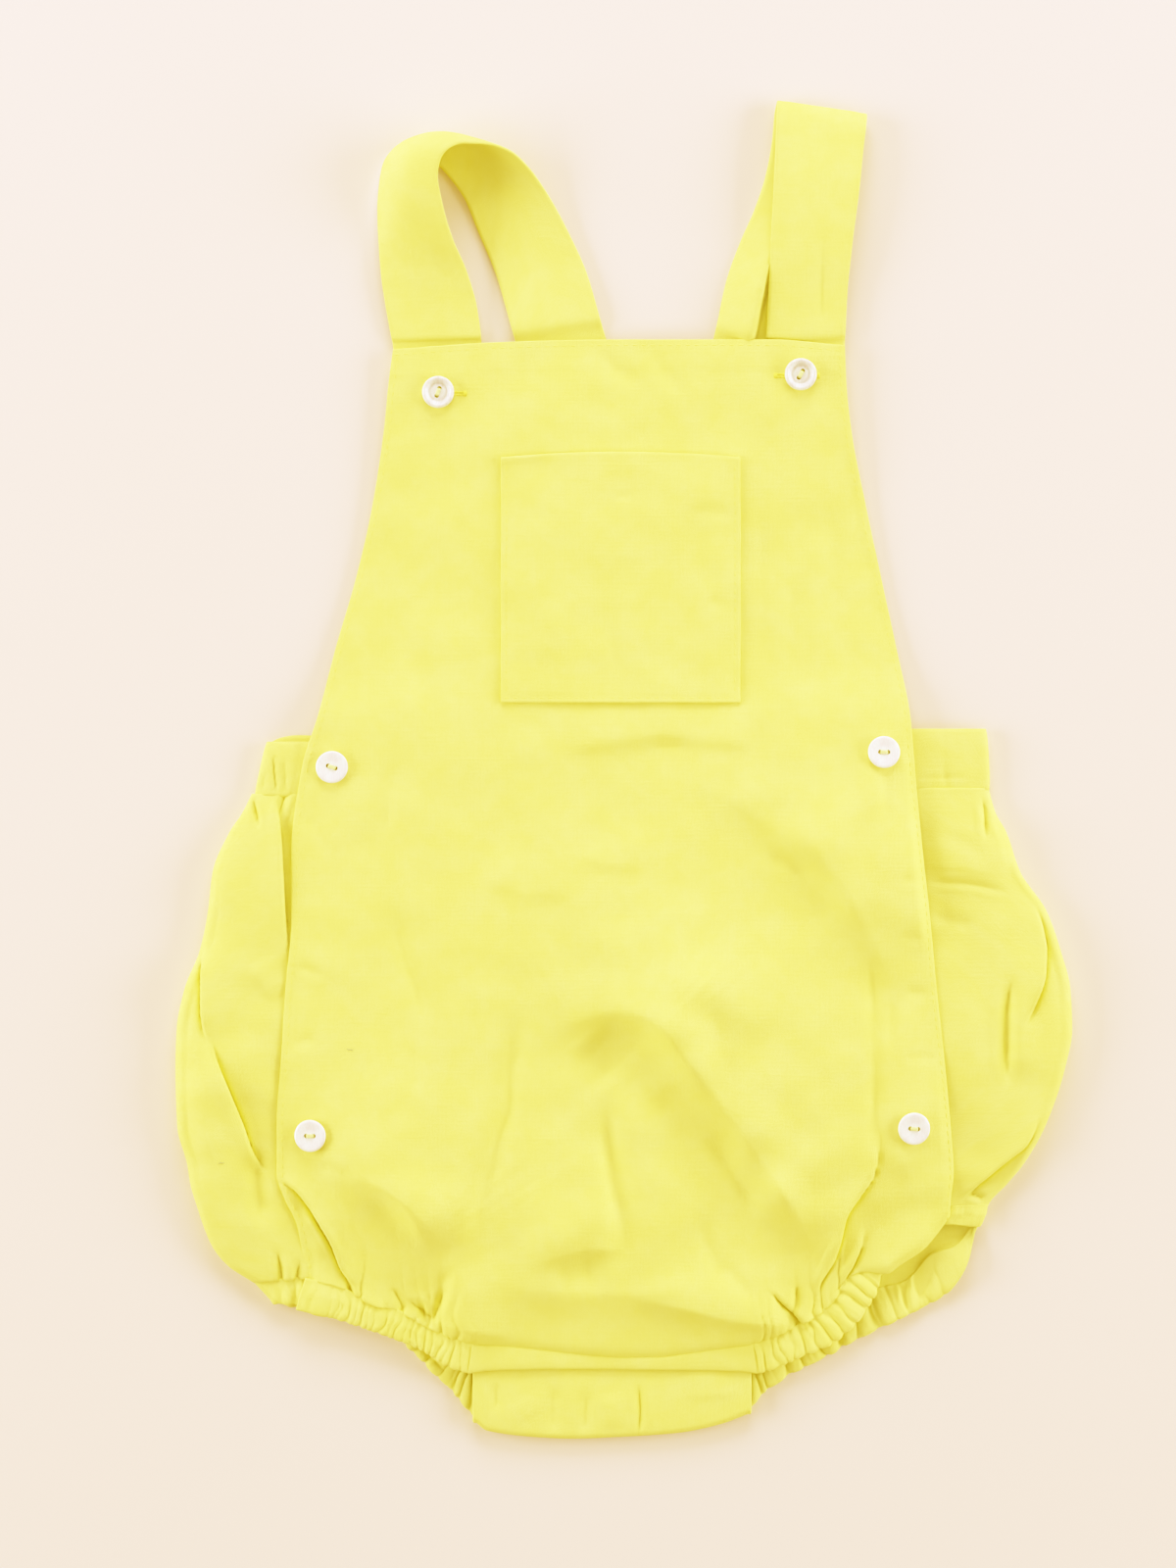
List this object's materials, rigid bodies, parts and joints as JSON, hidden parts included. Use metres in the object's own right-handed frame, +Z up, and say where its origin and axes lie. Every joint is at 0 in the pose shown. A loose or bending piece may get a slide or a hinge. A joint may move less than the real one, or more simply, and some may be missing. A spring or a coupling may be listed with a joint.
{
  "type": "baby romper",
  "caption": "Sleeveless baby romper laid face up: bib with patch pocket, button-on straps crossing behind it, wrap-round back with elastic waist and gathered leg openings.",
  "frame": {"origin": "on the surface it lies on, below the middle of the whole outline", "axes": "+X across to the viewer's right, +Y up the front from the crotch to the straps, +Z up out of the face that shows"},
  "size_m": [0.3051, 0.4561, 0.0185],
  "materials": {
    "cloth": "plain-woven lemon yellow cotton and linen, matt",
    "shell_button": "pearly shell, softly polished"
  },
  "bodies": {
    "root": {"front_panel": "cloth", "back_panel": "cloth", "back_waistband": "cloth", "leg_casing_left_back": "cloth", "leg_casing_left_front": "cloth", "leg_casing_right_back": "cloth", "leg_casing_right_front": "cloth", "crotch_band_back": "cloth", "crotch_band_front": "cloth", "strap_left": "cloth", "strap_right": "cloth", "pocket": "cloth", "button_bib_left": "shell_button", "button_bib_right": "shell_button", "button_waist_left": "shell_button", "button_waist_right": "shell_button", "button_hip_left": "shell_button", "button_hip_right": "shell_button"}
  },
  "joints": []
}
